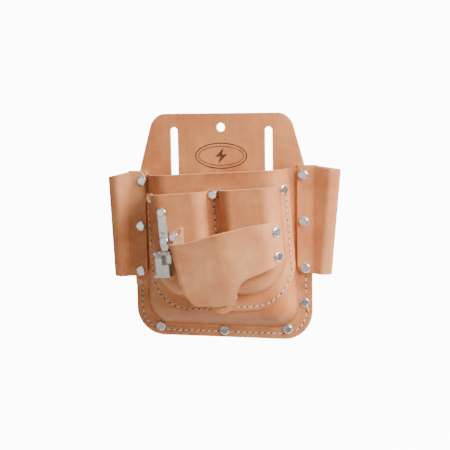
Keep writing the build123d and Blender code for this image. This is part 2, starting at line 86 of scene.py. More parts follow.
def pick(obj):
    bpy.ops.object.select_all(action="DESELECT")
    obj.select_set(True)
    bpy.context.view_layer.objects.active = obj


def applyModifier(obj, kind, **settings):
    pick(obj)
    mod = obj.modifiers.new(kind.lower(), kind)
    for name, value in settings.items():
        setattr(mod, name, value)
    bpy.ops.object.modifier_apply(modifier=mod.name)


def recalc(obj):
    pick(obj)
    bpy.ops.object.mode_set(mode="EDIT")
    bpy.ops.mesh.select_all(action="SELECT")
    bpy.ops.mesh.normals_make_consistent(inside=False)
    bpy.ops.object.mode_set(mode="OBJECT")


def spread(low, high, step):
    count = max(int(abs(high - low) / step + 0.5), 1)
    return [low + (high - low) * i / count for i in range(count + 1)]


# a grid of leather whose point (i, j) lies at place(columns[i], rows[j]), in millimetres
def sheetFrom(name, columns, rows, place):
    bpy.ops.mesh.primitive_grid_add(x_subdivisions=len(columns) - 1, y_subdivisions=len(rows) - 1, size=1)
    obj = bpy.context.active_object
    obj.name = obj.data.name = name
    nx, nz = len(columns) - 1, len(rows) - 1
    for vert in obj.data.vertices:
        i, j = round((vert.co.x + 0.5) * nx), round((vert.co.y + 0.5) * nz)
        vert.co = Vector(place(columns[i], rows[j])) * mm
    return obj


# stores a number from 0 to 1 at each point, which the leather material reads
def mark(obj, name, value):
    layer = obj.data.attributes.new(name, "FLOAT", "POINT")
    for vert in obj.data.vertices:
        layer.data[vert.index].value = value(vert.co / mm)


def thicken(obj, thick, edge=0.55):
    applyModifier(obj, "SOLIDIFY", thickness=thick * mm, offset=-1, use_quality_normals=True,
                  material_offset=1, material_offset_rim=2)
    applyModifier(obj, "BEVEL", width=edge * mm, segments=2, limit_method="ANGLE", angle_limit=radians(62))
    bpy.ops.object.shade_smooth_by_angle(angle=radians(50))


def dress(obj, *materials):
    obj.data.materials.clear()
    for material in materials:
        obj.data.materials.append(material)


def finishPiece(obj, body, slot, *nodes):
    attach(obj, body)
    if nodes:
        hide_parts(*nodes)


def softMax(a, b, soft):
    if soft <= 0:
        return max(a, b)
    h = max(soft - abs(a - b), 0) / soft
    return max(a, b) + h * h * soft / 4


def bell(x, width):
    return exp(-(x / width) ** 2)


# half width of the back panel at height z
def bodyHalfAt(z):
    slope = (bodyHalf - panel["tabHalf"]) / (tabTop - panel["shoulderZ"])
    half = min(panel["tabHalf"] + (tabTop - z) * slope, bodyHalf)
    half -= 2.0 * bell(z - panel["shoulderZ"], 16)  # the bend into the straight side is a soft one
    r = panel["cornerRadius"]
    if z < bodyBottom + r:
        half = bodyHalf - r + sqrt(max(r * r - (bodyBottom + r - z) ** 2, 0))
    r = panel["tabRadius"]
    top = tabTop - z
    if top < r:
        half -= r - sqrt(max(r * r - (r - top) ** 2, 0)) - (r - top) * 0.12 * (r - top) / r
    return half


def wallAt(z, side):
    top, low = (pocket["topRight"], pocket["lowRight"]) if side > 0 else (pocket["topLeft"], pocket["lowLeft"])
    return low + (top - low) * (z - pocket["bottom"]) / (pocket["rimZ"] - pocket["bottom"])


# depth of a moulded shoulder at a distance d outside its flat top
def shoulderDepth(d, radius, front, steepest=pocket["steepest"]):
    limit = radius * sin(radians(steepest))
    inside = min(d, limit)
    return front - radius + sqrt(radius * radius - inside * inside) - (d - inside) * tan(radians(steepest))


def flangeDepth(z):
    share = min(max((z - pocket["stepLow"]) / (pocket["stepHigh"] - pocket["stepLow"]), 0), 1)
    return flangeLow + leather * share * share * (3 - 2 * share)


# depth of the main pocket's moulded front, or of a skin that lies on it with some cover
def mainRaised(x, z, cover=0.0):
    radius = pocket["shoulder"]
    core = wallAt(z, 1 if x > 0 else -1) - radius
    dx, dz = max(abs(x) - core, 0), max(pocket["bottom"] + radius - z, 0)
    d = hypot(dx, dz) if min(dx, dz) > 0 else max(dx, dz)
    return shoulderDepth(d, radius + cover, mainFront + cover)


def rimLine(x):
    return pocket["rimZ"] + x * tan(radians(pocket["rimSlope"]))


# how far a point lies from the outer seam's line
def seamDistance(x, z):
    r = panel["cornerRadius"]
    if z < bodyBottom + r and abs(x) > bodyHalf - r:
        inset = r - hypot(abs(x) - bodyHalf + r, bodyBottom + r - z)
    else:
        inset = min(bodyHalf - abs(x), z - bodyBottom)
    return inset - pocket["seamInset"]


def mainDepth(x, z):
    flange = flangeDepth(z) - 0.35 * bell(seamDistance(x, z), 1.1)
    raised = mainRaised(x, z)
    rise = min(max((raised - flange) / 10, 0), 1)
    return softMax(raised, flange, 6 * pocket["footSoft"]) + 0.8 * rise * exp(min(z - rimLine(x), 0) / 5)


def secondInset(u, v):
    r, half, low = second["cornerRadius"], second["half"], second["bottom"]
    if v < low + r and abs(u) > half - r:
        return r - hypot(abs(u) - half + r, low + r - v)
    return min(half - abs(u), v - low)


# distance outside the flat top of the nearer tool compartment
def bulgeDistance(u, v):
    r = second["bulgeShoulder"]
    a = abs(u)
    inner, outer, low = second["bulgeIn"] + r, second["bulgeOut"] - r, second["bulgeBottom"] + r
    corner = second["bulgeCorner"] - r
    if v < low + corner and a > outer - corner:
        return max(hypot(a - outer + corner, low + corner - v) - corner, 0)
    dx, dz = max(inner - a, a - outer, 0), max(low - v, 0)
    return hypot(dx, dz) if min(dx, dz) > 0 else max(dx, dz)


def secondDepth(u, v):
    p = secondPoint(u, v)
    inset = secondInset(u, v)
    flange = mainRaised(p.x, p.z, leather)
    flange = max(flange, flangeHigh + leather) - 0.35 * bell(inset - second["seamInset"], 1.0)
    flange -= 0.3 * bell(u, 1.2)
    raised = shoulderDepth(bulgeDistance(u, v), second["bulgeShoulder"], bulgeFront, second["steepest"])
    rise = min(max((raised - flange) / 8, 0), 1)
    return softMax(raised, flange, 4.0) + 0.9 * rise * exp(min(v - second["top"], 0) / 5)


def newMaterial(name):
    material = bpy.data.materials.new(name)
    material.use_nodes = True
    nodes, links = material.node_tree.nodes, material.node_tree.links
    return material, nodes, links, nodes["Principled BSDF"]


def noiseNode(nodes, links, coords, scale, detail=3.0, rough=0.55, stretch=None):
    noise = nodes.new("ShaderNodeTexNoise")
    noise.inputs["Scale"].default_value = scale
    noise.inputs["Detail"].default_value = detail
    noise.inputs["Roughness"].default_value = rough
    source = coords
    if stretch:
        mapping = nodes.new("ShaderNodeMapping")
        mapping.inputs["Scale"].default_value = stretch
        links.new(coords, mapping.inputs["Vector"])
        source = mapping.outputs["Vector"]
    links.new(source, noise.inputs["Vector"])
    return noise.outputs["Fac"]


def rampNode(nodes, links, value, stops):
    ramp = nodes.new("ShaderNodeValToRGB")
    while len(ramp.color_ramp.elements) < len(stops):
        ramp.color_ramp.elements.new(0.5)
    for element, (place, colour) in zip(ramp.color_ramp.elements, stops):
        element.position = place
        element.color = (*colour, 1)
    links.new(value, ramp.inputs["Fac"])
    return ramp.outputs["Color"]


def mixNode(nodes, links, kind, amount, a, b):
    mix = nodes.new("ShaderNodeMix")
    mix.data_type = "RGBA"
    mix.blend_type = kind
    for socket, value in ((mix.inputs["Factor"], amount), (mix.inputs[6], a), (mix.inputs[7], b)):
        if isinstance(value, bpy.types.NodeSocket):
            links.new(value, socket)
        elif isinstance(value, (int, float)):
            socket.default_value = value
        else:
            socket.default_value = (*value, 1)
    return mix.outputs[2]


def bumpNode(nodes, links, height, strength, distance, before=None):
    bump = nodes.new("ShaderNodeBump")
    bump.inputs["Strength"].default_value = strength
    bump.inputs["Distance"].default_value = distance
    links.new(height, bump.inputs["Height"])
    if before:
        links.new(before, bump.inputs["Normal"])
    return bump.outputs["Normal"]


# the last tone is the dark brown mixed in at creases, seam grooves and the pocket's lower face: partly real burnish,
# partly painted shade
hide = dict(pale=(0.76, 0.310, 0.115), mid=(0.65, 0.235, 0.080), deep=(0.52, 0.160, 0.048), burnishShadeTone=(0.15, 0.035, 0.010))


# smooth vegetable-tanned grain side: mottled tan, pores, faint growth lines, and creases and grooves darkened partly
# by burnish and partly by painted shade
def grainLeather(name, tint, streaks):
    material, nodes, links, skin = newMaterial(name)
    coords = nodes.new("ShaderNodeTexCoord").outputs["Object"]
    cloud = noiseNode(nodes, links, coords, 22, 4, 0.6)
    tone = rampNode(nodes, links, cloud, [(place, [c * t for c, t in zip(hide[shade], tint)])
                                          for place, shade in ((0.30, "deep"), (0.5, "mid"), (0.72, "pale"))])
    line = noiseNode(nodes, links, coords, 60, 3, 0.6, (3.2, 1.0, 0.22))
    lines = rampNode(nodes, links, line, [(0.35, (0.90, 0.86, 0.82)), (0.6, (1, 1, 1))])
    tone = mixNode(nodes, links, "MULTIPLY", streaks, tone, lines)
    fleck = noiseNode(nodes, links, coords, 420, 4, 0.7)
    flecks = rampNode(nodes, links, fleck, [(0.32, (0.86, 0.80, 0.74)), (0.52, (1, 1, 1))])
    tone = mixNode(nodes, links, "MULTIPLY", 0.5, tone, flecks)
    # a per-point mask mixes in the dark tone: partly burnish, partly painted shade in creases, grooves and on the
    # underside
    burnishShadeMask = nodes.new("ShaderNodeAttribute")
    burnishShadeMask.attribute_name = "burnishAndShade"
    tone = mixNode(nodes, links, "MIX", burnishShadeMask.outputs["Fac"], tone, hide["burnishShadeTone"])
    links.new(tone, skin.inputs["Base Color"])
    pores = nodes.new("ShaderNodeTexVoronoi")
    pores.inputs["Scale"].default_value = 1150
    links.new(coords, pores.inputs["Vector"])
    fine = noiseNode(nodes, links, coords, 900, 5, 0.65)
    soft = noiseNode(nodes, links, coords, 70, 3, 0.5)
    normal = bumpNode(nodes, links, soft, 0.25, 0.0022)
    normal = bumpNode(nodes, links, fine, 0.22, 0.00035, normal)
    normal = bumpNode(nodes, links, pores.outputs["Distance"], 0.16, 0.0003, normal)
    links.new(normal, skin.inputs["Normal"])
    gloss = rampNode(nodes, links, cloud, [(0.3, (0.44,) * 3), (0.7, (0.56,) * 3)])
    links.new(gloss, skin.inputs["Roughness"])
    skin.inputs["Specular IOR Level"].default_value = 0.42
    return material


# suede-like flesh side
def fleshLeather(name):
    material, nodes, links, skin = newMaterial(name)
    coords = nodes.new("ShaderNodeTexCoord").outputs["Object"]
    fibre = noiseNode(nodes, links, coords, 500, 5, 0.7)
    tone = rampNode(nodes, links, fibre, [(0.3, (0.38, 0.17, 0.075)), (0.7, (0.60, 0.32, 0.17))])
    links.new(tone, skin.inputs["Base Color"])
    links.new(bumpNode(nodes, links, fibre, 0.6, 0.0006), skin.inputs["Normal"])
    skin.inputs["Roughness"].default_value = 0.9
    return material


# cut edge, paler, with the fibres showing
def cutLeather(name):
    material, nodes, links, skin = newMaterial(name)
    coords = nodes.new("ShaderNodeTexCoord").outputs["Object"]
    fibre = noiseNode(nodes, links, coords, 700, 4, 0.7)
    tone = rampNode(nodes, links, fibre, [(0.3, (0.62, 0.27, 0.13)), (0.65, (0.86, 0.45, 0.25))])
    links.new(tone, skin.inputs["Base Color"])
    links.new(bumpNode(nodes, links, fibre, 0.4, 0.0004), skin.inputs["Normal"])
    skin.inputs["Roughness"].default_value = 0.75
    return material


def metal(name, colour, roughness, scratch):
    material, nodes, links, skin = newMaterial(name)
    coords = nodes.new("ShaderNodeTexCoord").outputs["Object"]
    haze = noiseNode(nodes, links, coords, 160, 4, 0.6)
    links.new(rampNode(nodes, links, haze, [(0.3, [c * 0.86 for c in colour]), (0.65, colour)]),
              skin.inputs["Base Color"])
    links.new(rampNode(nodes, links, haze, [(0.3, (roughness,) * 3), (0.7, (roughness + 0.14,) * 3)]),
              skin.inputs["Roughness"])
    fine = noiseNode(nodes, links, coords, 900, 2, 0.5)
    links.new(bumpNode(nodes, links, fine, scratch, 0.0002), skin.inputs["Normal"])
    skin.inputs["Metallic"].default_value = 1.0
    return material


# waxed two-ply thread; the twist follows the stitch's own UV map
def cordMaterial(name):
    material, nodes, links, skin = newMaterial(name)
    uv = nodes.new("ShaderNodeTexCoord").outputs["UV"]
    mapping = nodes.new("ShaderNodeMapping")
    mapping.inputs["Rotation"].default_value = (0, 0, radians(38))
    mapping.inputs["Scale"].default_value = (3.0, 5.0, 1.0)
    links.new(uv, mapping.inputs["Vector"])
    wave = nodes.new("ShaderNodeTexWave")
    wave.inputs["Scale"].default_value = 1.0
    wave.inputs["Distortion"].default_value = 0.6
    links.new(mapping.outputs["Vector"], wave.inputs["Vector"])
    tone = rampNode(nodes, links, wave.outputs["Fac"], [(0.1, (0.58, 0.47, 0.36)), (0.6, (0.87, 0.80, 0.70))])
    links.new(tone, skin.inputs["Base Color"])
    links.new(bumpNode(nodes, links, wave.outputs["Fac"], 0.6, 0.0004), skin.inputs["Normal"])
    skin.inputs["Roughness"].default_value = 0.6
    return material


def plainMaterial(name, colour, roughness):
    material, nodes, links, skin = newMaterial(name)
    skin.inputs["Base Color"].default_value = (*colour, 1)
    skin.inputs["Roughness"].default_value = roughness
    return material


# how far each cut piece strays from the hide's colour, and how strongly its growth lines show
tints = dict(panel=((1.0, 0.98, 0.95), 0.6), pocket=((0.96, 0.94, 0.92), 0.25), second=((1.0, 1.0, 1.0), 0.2),
             strap=((1.08, 1.20, 1.42), 0.2), loop=((1.02, 1.05, 1.1), 0.25))
panelGrain = grainLeather("panelGrain", *tints["panel"])
pocketGrain = grainLeather("pocketGrain", *tints["pocket"])
secondGrain = grainLeather("secondGrain", *tints["second"])
strapGrain = grainLeather("strapGrain", *tints["strap"])
loopGrain = grainLeather("loopGrain", *tints["loop"])
flesh = fleshLeather("flesh")
cutEdge = cutLeather("cutEdge")
nickel = metal("nickel", (0.88, 0.86, 0.82), 0.2, 0.0015)
snapSteel = metal("snapSteel", (0.86, 0.83, 0.72), 0.24, 0.03)
springSteel = metal("springSteel", (0.55, 0.54, 0.52), 0.3, 0.1)
# dark brown for the base rivet's cap, which peeks out below the holster's fold: painted shade, not an aged finish
shadowDarkBrass = metal("shadowDarkBrass", (0.20, 0.12, 0.07), 0.5, 0.2)
thread = cordMaterial("thread")
# near-black discs laid on the leather between stitches: painted shadow of the needle holes
needleHoleShadow = plainMaterial("needleHoleShadow", (0.035, 0.018, 0.01), 0.9)
print("materials ready")

lens = dict(azimuth=12.0, elevation=8.5, roll=1.0, distance=1.0, target=(0.0021, -0.012, -0.1039), focal=76.9,
            shiftX=1 / 180, shiftY=1 / 150)


def makeCamera():
    az, el, roll = (radians(lens[k]) for k in ("azimuth", "elevation", "roll"))
    ahead = Vector((-sin(az) * cos(el), cos(az) * cos(el), -sin(el)))
    right = Vector((cos(az), sin(az), 0))
    up = right.cross(ahead)
    side, top = right * cos(roll) - up * sin(roll), up * cos(roll) + right * sin(roll)
    bpy.ops.object.camera_add(location=Vector(lens["target"]) - ahead * lens["distance"])
    camera = bpy.context.active_object
    camera.name = "productCamera"
    camera.rotation_euler = Matrix((side, top, -ahead)).transposed().to_euler()
    camera.data.lens = lens["focal"]
    camera.data.sensor_width = 36
    camera.data.shift_x = lens["shiftX"]
    camera.data.shift_y = lens["shiftY"]
    camera.data.clip_end = 20
    bpy.context.scene.camera = camera


studio = dict(keyPower=30.0, cardPower=5.0, topPower=8.0, worldStrength=0.13, backdrop=11.0)


def makeStudio():
    bpy.ops.mesh.primitive_plane_add(size=8, location=(0, 0, -0.42))
    floor = bpy.context.active_object
    floor.name = "paleFloor"
    pick(floor)
    bpy.ops.object.mode_set(mode="EDIT")
    bpy.ops.mesh.select_all(action="SELECT")
    bpy.ops.transform.resize(value=(1.5, 0.175, 1))
    bpy.ops.transform.translate(value=(0, 0.4, 0))
    bpy.ops.mesh.select_all(action="DESELECT")
    bpy.ops.object.mode_set(mode="OBJECT")
    for edge in floor.data.edges:
        edge.select = all(floor.data.vertices[i].co.y > 1.0 for i in edge.vertices)
    bpy.ops.object.mode_set(mode="EDIT")
    bpy.ops.mesh.select_mode(type="EDGE")
    bpy.ops.mesh.extrude_region_move(TRANSFORM_OT_translate={"value": (0, 0, 3.5)})
    bpy.ops.object.mode_set(mode="OBJECT")
    applyModifier(floor, "BEVEL", width=0.6, segments=16, limit_method="ANGLE", angle_limit=radians(60))
    bpy.ops.object.shade_smooth()
    paper, nodes, links, skin = newMaterial("palePaper")
    skin.inputs["Base Color"].default_value = (0.93, 0.93, 0.925, 1)
    skin.inputs["Roughness"].default_value = 0.8
    skin.inputs["Emission Color"].default_value = (1, 1, 1, 1)
    glow = nodes.new("ShaderNodeMath")  # the paper is burnt out to white without lighting the pouch
    glow.operation = "MULTIPLY"
    glow.inputs[1].default_value = studio["backdrop"]
    links.new(nodes.new("ShaderNodeLightPath").outputs["Is Camera Ray"], glow.inputs[0])
    links.new(glow.outputs[0], skin.inputs["Emission Strength"])
    dress(floor, paper)
    for name, power, wide, tall, place in (("keyLight", studio["keyPower"], 0.6, 0.6, (0.78, -0.42, 0.40)),
                                           ("cardLight", studio["cardPower"], 1.9, 0.66, (-0.8, -1.6, -0.2)),
                                           ("topLight", studio["topPower"], 1.4, 1.0, (-0.2, -0.7, 1.6))):
        bpy.ops.object.light_add(type="AREA", location=place)
        lamp = bpy.context.active_object
        lamp.name = name
        lamp.data.energy = power
        lamp.data.shape = "RECTANGLE"
        lamp.visible_camera = False
        lamp.data.size, lamp.data.size_y = wide, tall
        lamp.rotation_euler = (Vector((0, 0, -0.1)) - Vector(place)).to_track_quat("-Z", "Y").to_euler()
    world = bpy.data.worlds.new("studioAir")
    bpy.context.scene.world = world
    world.use_nodes = True
    nodes, links = world.node_tree.nodes, world.node_tree.links
    coords = nodes.new("ShaderNodeTexCoord").outputs["Generated"]
    split = nodes.new("ShaderNodeSeparateXYZ")
    links.new(coords, split.inputs[0])
    sky = rampNode(nodes, links, split.outputs["Z"], [(0.0, (0.35, 0.42, 0.55)), (0.12, (1, 1, 1))])
    seen = nodes.new("ShaderNodeLightPath").outputs["Is Camera Ray"]
    links.new(mixNode(nodes, links, "MIX", seen, sky, (1, 1, 1)), nodes["Background"].inputs["Color"])
    power = nodes.new("ShaderNodeMapRange")
    power.inputs["To Min"].default_value = studio["worldStrength"]
    power.inputs["To Max"].default_value = studio["backdrop"]
    links.new(seen, power.inputs["Value"])
    links.new(power.outputs["Result"], nodes["Background"].inputs["Strength"])


makeCamera()
makeStudio()
print("camera and studio ready")


# heights of the rows, closer together where the outline turns a corner
def roundedRows(low, high, radius, step, topRadius=0.0):
    rows = [low + radius * (1 - cos(radians(a))) for a in spread(0, 90, degrees(step / radius) * 1.2)]
    rows += spread(low + radius, high - topRadius, step)[1:]
    if topRadius:
        rows += [high - topRadius + topRadius * sin(radians(a)) for a in spread(0, 90, 6)][1:]
    return rows


badge = dict(centreZ=-29.5, halfWide=27.0, halfTall=13.0, groove=1.1, depth=0.7)


def ovalRing(name, halfWide, halfTall, groove):
    bpy.ops.mesh.primitive_torus_add(major_segments=72, minor_segments=6, major_radius=1, minor_radius=0.02,
                                     location=(0, 0, 0), rotation=(radians(90), 0, 0))
    ring = bpy.context.active_object
    ring.name = name
    bpy.ops.object.transform_apply(location=False, rotation=True, scale=True)
    for vert in ring.data.vertices:
        flat = Vector((vert.co.x, 0, vert.co.z))
        out = flat.length - 1
        flat.normalize()
        edge = Vector((flat.x * halfWide, 0, flat.z * halfTall))
        normal = Vector((flat.x / halfWide, 0, flat.z / halfTall)).normalized()
        place = edge + normal * (out / 0.02 * groove / 2)
        vert.co = (place + Vector((0, -backThick + (vert.co.y / 0.02) * badge["depth"], badge["centreZ"]))) * mm
    return ring


# a plain lightning bolt, the trade's common sign, as a cutter
def boltShape(name):
    outline = [(3, 8.5), (-6.5, -1.2), (-0.6, -0.6), (-3.4, -8.5), (6.5, 1.8), (0.8, 1.2)]
    bpy.ops.mesh.primitive_circle_add(vertices=len(outline), radius=1, fill_type="NGON")
    bolt = bpy.context.active_object
    bolt.name = name
    for vert, (x, z) in zip(bolt.data.vertices, outline):
        vert.co = Vector((x, -backThick, z + badge["centreZ"])) * mm
    applyModifier(bolt, "SOLIDIFY", thickness=badge["depth"] * 2 * mm, offset=0)
    recalc(bolt)
    return bolt


def cutWith(obj, cutter):
    applyModifier(obj, "BOOLEAN", object=cutter, operation="DIFFERENCE", solver="EXACT", material_mode="TRANSFER")
    bpy.data.objects.remove(cutter)


def punchSlot(x):
    bpy.ops.mesh.primitive_cylinder_add(vertices=32, radius=panel["slotWidth"] / 2 * mm, depth=20 * mm,
                                        location=(0, 0, 0), rotation=(radians(90), 0, 0))
    cutter = bpy.context.active_object
    bpy.ops.object.transform_apply(location=True, rotation=True, scale=True)
    half = (panel["slotLength"] - panel["slotWidth"]) / 2
    middle = panel["slotTop"] - panel["slotLength"] / 2
    for vert in cutter.data.vertices:
        vert.co.z += (middle + (half if vert.co.z > 1e-6 else -half if vert.co.z < -1e-6 else 0)) * mm
        vert.co.x += x * mm
    return cutter


def makeBackPanel():
    rows = roundedRows(bodyBottom, tabTop, panel["cornerRadius"], 3.0, panel["tabRadius"])
    columns = spread(-1, 1, 2 / 60)
    obj = sheetFrom("backPanel", columns, rows, lambda s, z: (s * bodyHalfAt(z), -backThick, z))
    dress(obj, panelGrain, flesh, cutEdge)
    thicken(obj, backThick, 0.6)
    cutters = [punchSlot(-panel["slotPitch"] / 2), punchSlot(panel["slotPitch"] / 2)]
    bpy.ops.mesh.primitive_cylinder_add(vertices=40, radius=panel["holeSize"] / 2 * mm, depth=20 * mm,
                                        location=(0, 0, 0), rotation=(radians(90), 0, 0))
    cutters.append(bpy.context.active_object)
    for cutter in cutters:
        pick(cutter)
        bpy.ops.object.transform_apply(location=True, rotation=True, scale=True)
        dress(cutter, cutEdge)
        cutWith(obj, cutter)
    pressed = plainMaterial("pressedLine", (0.13, 0.035, 0.012), 0.6)
    marks = [ovalRing("ringOut", badge["halfWide"], badge["halfTall"], badge["groove"]),
             ovalRing("ringIn", badge["halfWide"] - 3.2, badge["halfTall"] - 3.2, badge["groove"] * 0.7),
             boltShape("bolt")]
    for cutter in marks:
        dress(cutter, pressed)
        cutWith(obj, cutter)
    pick(obj)
    bpy.ops.object.shade_smooth_by_angle(angle=radians(35))
    finishPiece(obj, "pouch", "back_leather", "back_panel")


makeBackPanel()
print("back panel ready")


def makeMainPocket():
    rows = roundedRows(bodyBottom, pocket["rimZ"], panel["cornerRadius"], 1.15)
    columns = spread(-1, 1, 2 / 165)
    fadeZ = -150.0  # below here the rows lie level

    def place(s, z):
        x = s * bodyHalfAt(z)
        share = min(max((z - fadeZ) / (pocket["rimZ"] - fadeZ), 0), 1)
        z += (rimLine(x) - pocket["rimZ"]) * share
        return x, -mainDepth(x, z), z

    obj = sheetFrom("mainPocket", columns, rows, place)

    # painted shade with some burnish: darker at the foot of the moulded shoulder, on the lower face below z -184 that
    # light from above misses (partly a stain there), and along the seam groove
    def crease(p):
        rise = -p.y - flangeDepth(p.z)
        foot = bell(rise - 1.0, 2.2) * 0.42 if rise > 0.25 else 0
        under = 0.42 * min(max((-184 - p.z) / 18, 0), 1) if rise > 1.5 else 0
        return min(foot + under + 0.22 * bell(seamDistance(p.x, p.z), 1.0), 0.6)

    mark(obj, "burnishAndShade", crease)
    dress(obj, pocketGrain, flesh, cutEdge)
    thicken(obj, leather)
    finishPiece(obj, "pouch", "pocket_leather", "main_pocket")


makeMainPocket()
print("main pocket ready")


def makeSecondPocket():
    rows = roundedRows(second["bottom"], second["top"], second["cornerRadius"], 1.05)
    columns = spread(-1, 1, 2 / 150)

    def place(s, v):
        r = second["cornerRadius"]
        half = second["half"]
        if v < second["bottom"] + r:
            half = half - r + sqrt(max(r * r - (second["bottom"] + r - v) ** 2, 0))
        u = s * half
        return secondPoint(u, v, secondDepth(u, v))

    obj = sheetFrom("secondPocket", columns, rows, place)

    # painted shade with some burnish: darker at the foot of the tool compartments, along the seam groove and along the
    # divider seam
    def crease(p):
        u, v = toSecond(p.x, p.z)
        raised = shoulderDepth(bulgeDistance(u, v), second["bulgeShoulder"], bulgeFront, second["steepest"])
        flange = mainRaised(p.x, p.z, leather)
        foot = 0.42 * bell(raised - flange - 0.5, 2.4)
        return min(foot + 0.22 * bell(secondInset(u, v) - second["seamInset"], 1.0) + 0.2 * bell(u, 1.2), 0.6)

    mark(obj, "burnishAndShade", crease)
    dress(obj, secondGrain, flesh, cutEdge)
    thicken(obj, leather)
    finishPiece(obj, "pouch", "pocket_leather", "second_pocket")


makeSecondPocket()
print("second pocket ready")


# points along a bent strip's centre line, seen from above, the same number for every section
def bentLine(points, radii, perLine, perArc):
    pts = [Vector(p) for p in points]
    out = []
    start = pts[0]
    for corner, after, radius in zip(pts[1:-1], pts[2:], radii):
        into, away = (corner - start).normalized(), (after - corner).normalized()
        turn = into.angle_signed(away)
        reach = radius * tan(abs(turn) / 2)
        first, last = corner - into * reach, corner + away * reach
        out += [start.lerp(first, i / perLine) for i in range(perLine)]
        side = Vector((into.y, -into.x)) if turn > 0 else Vector((-into.y, into.x))
        centre = first + side * radius
        for i in range(perArc):
            angle = -turn * i / perArc
            spoke = first - centre
            out.append(centre + Vector((spoke.x * cos(angle) - spoke.y * sin(angle),
                                        spoke.x * sin(angle) + spoke.y * cos(angle))))
        start = last
    out += [start.lerp(pts[-1], i / perLine) for i in range(perLine + 1)]
    return out


sideLoop = dict(top=-47.0, bottom=-157.0, rightLift=7.0, inner=80.2, rightOuter=(124.5, 115.5),
                leftOuter=(120.5, 116.5), belly=6.5, bends=[14, 6.5, 4.2, 4.2], leftSlant=4.0, rightSlant=2.5,
                flapCorner=9.0)


def makeLoop(name, node, side):
    lift = sideLoop["rightLift"] if side > 0 else 0.0
    top, bottom = sideLoop["top"] + lift, sideLoop["bottom"] + lift
    outerTop, outerLow = sideLoop["rightOuter"] if side > 0 else sideLoop["leftOuter"]
    inner, front, rear = sideLoop["inner"], -(flapFace - leather / 2), -(backThick + leather / 2)
    belly, halfThick = front - sideLoop["belly"], leather / 2

    def section(outer):
        line = [(inner, front), (bodyHalf + 3, front), (outer - 10, belly), (outer - halfThick, belly + 3),
                (outer - halfThick, rear), (inner, rear)]
        return bentLine(line, sideLoop["bends"], 18, 9)

    upper, lower = section(outerTop), section(outerLow)
    if side < 0:  # keeps the grain side outwards
        upper, lower = upper[::-1], lower[::-1]
    columns = list(range(len(upper)))
    rows = spread(0, 1, 1 / 60)
    slant = sideLoop["leftSlant"] if side < 0 else sideLoop["rightSlant"]
    corner = sideLoop["flapCorner"]

    def place(i, t):
        p = lower[i].lerp(upper[i], t)
        x, y = p.x, p.y
        isFlap = y < front + 2.5 if x < bodyHalf + 3 else y < (front + rear) / 2
        rise = max((x - 95) / 25, 0)
        z = bottom + (top - bottom) * t
        z += slant * (0.5 - 1.5 * rise) * t if isFlap or x > 100 else slant * 0.5 * t
        if isFlap and x < inner + corner:
            cut = corner - sqrt(max(corner ** 2 - (corner - (x - inner)) ** 2, 0))
            z += cut * (1 if t < 0.5 else -1) * abs(2 * t - 1) ** 3
        return side * x, y, z

    obj = sheetFrom(name, columns, rows, place)
    mark(obj, "burnishAndShade", lambda p: 0.0)
    dress(obj, loopGrain, flesh, cutEdge)
    applyModifier(obj, "SOLIDIFY", thickness=leather * mm, offset=0, use_quality_normals=True, material_offset=1,
                  material_offset_rim=2)
    applyModifier(obj, "BEVEL", width=0.5 * mm, segments=2, limit_method="ANGLE", angle_limit=radians(62))
    bpy.ops.object.shade_smooth_by_angle(angle=radians(50))
    finishPiece(obj, "pouch", "pocket_leather", node)


makeLoop("leftSideLoop", "left_side_loop", -1)
makeLoop("rightSideLoop", "right_side_loop", 1)
print("side loops ready")

holster = dict(top=-29.7, bottom=-110.0, forwardTop=63.0, forwardLow=55.0, foldTop=-49.3, foldLow=-40.0, tabEnd=-46.4,
               earRadius=12.4, earCentre=-111.0,
               topEdge=[(-60, -45.4), (-45, -44.8), (-28, -44.0), (-12, -40.9), (4, -37.2), (20, -34.2), (36, -31.8),
                        (48, -30.6), (56, -30.2), (60, -30.6), (63.5, -32.2), (66.5, -35.5), (68.6, -40.5)],
               lowEdge=[(-60, -88.0), (-41, -88.0), (-38.5, -91.5), (-34.5, -98.5), (-31.5, -104.0), (-28.5, -108.5),
                        (-24, -110.0), (18, -110.4), (20.6, -109.4), (21.6, -104.0), (22.8, -98.0), (24.6, -92.5),
                        (28, -87.3), (33, -83.9), (40, -81.4), (47, -79.2), (54, -76.4), (60, -74.2), (64, -72.4),
                        (66.8, -69.8), (68.6, -65.5)],
               tabEdge=[(-48, -41.0), (-46.4, -37.4), (-44, -33.6), (-39, -30.9), (-34, -29.8), (-29, -30.4),
                        (-24, -31.4)])


# height of a smooth line through the points
def curveAt(points, x):
    if x <= points[0][0]:
        return points[0][1]
    for k in range(len(points) - 1):
        (a, va), (b, vb) = points[k], points[k + 1]
        if x <= b:
            before, after = points[max(k - 1, 0)], points[min(k + 2, len(points) - 1)]
            slopeA = (vb - before[1]) / (b - before[0]) * (b - a)
            slopeB = (after[1] - va) / (after[0] - a) * (b - a)
            t = (x - a) / (b - a)
            return ((2 * t ** 3 - 3 * t * t + 1) * va + (t ** 3 - 2 * t * t + t) * slopeA
                    + (3 * t * t - 2 * t ** 3) * vb + (t ** 3 - t * t) * slopeB)
    return points[-1][1]


